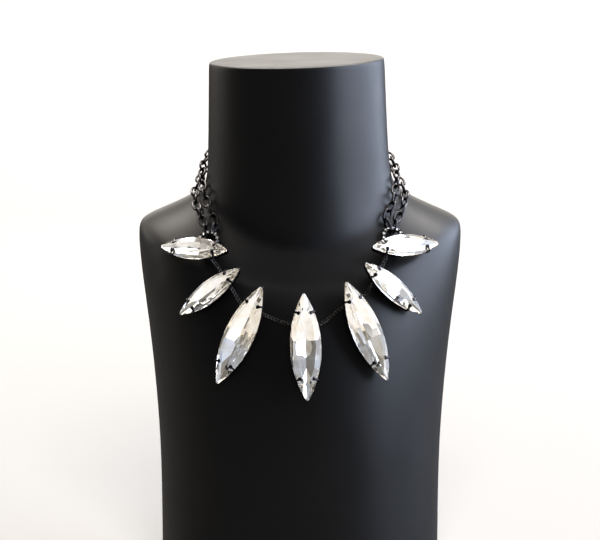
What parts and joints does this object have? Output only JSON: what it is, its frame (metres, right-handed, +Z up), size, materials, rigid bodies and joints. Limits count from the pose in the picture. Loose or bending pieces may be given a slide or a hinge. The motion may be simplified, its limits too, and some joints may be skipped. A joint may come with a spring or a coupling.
{
  "type": "bib necklace on neck bust",
  "caption": "Collar necklace of marquise stones fanned out from two pavé rings on paired link chains, with a fine curb chain behind the stones, worn on a plain black neck bust.",
  "frame": {"origin": "middle of the flat foot of the neck bust, halfway along the model's box both ways", "axes": "+Z up through the neck, -Y out of the chest towards the camera, +X to the right in the picture"},
  "size_m": [0.181, 0.1422, 0.2893],
  "materials": {
    "bust": "satin black",
    "crystal": "clear cut glass over a silver foil",
    "gunmetal": "polished gunmetal plating",
    "pave": "gunmetal plating set with small clear stones"
  },
  "bodies": {
    "root": {"neck_bust": "bust", "clasp": "gunmetal", "pave_ring_left": "pave", "pave_ring_right": "pave", "chain_left_outer": "gunmetal", "chain_left_inner": "gunmetal", "chain_right_outer": "gunmetal", "chain_right_inner": "gunmetal", "fine_chain": "gunmetal", "setting_left_1": "gunmetal", "setting_left_2": "gunmetal", "setting_left_3": "gunmetal", "setting_centre": "gunmetal", "setting_right_3": "gunmetal", "setting_right_2": "gunmetal", "setting_right_1": "gunmetal", "stone_left_1": "crystal", "stone_left_2": "crystal", "stone_left_3": "crystal", "stone_centre": "crystal", "stone_right_3": "crystal", "stone_right_2": "crystal", "stone_right_1": "crystal"}
  },
  "joints": []
}
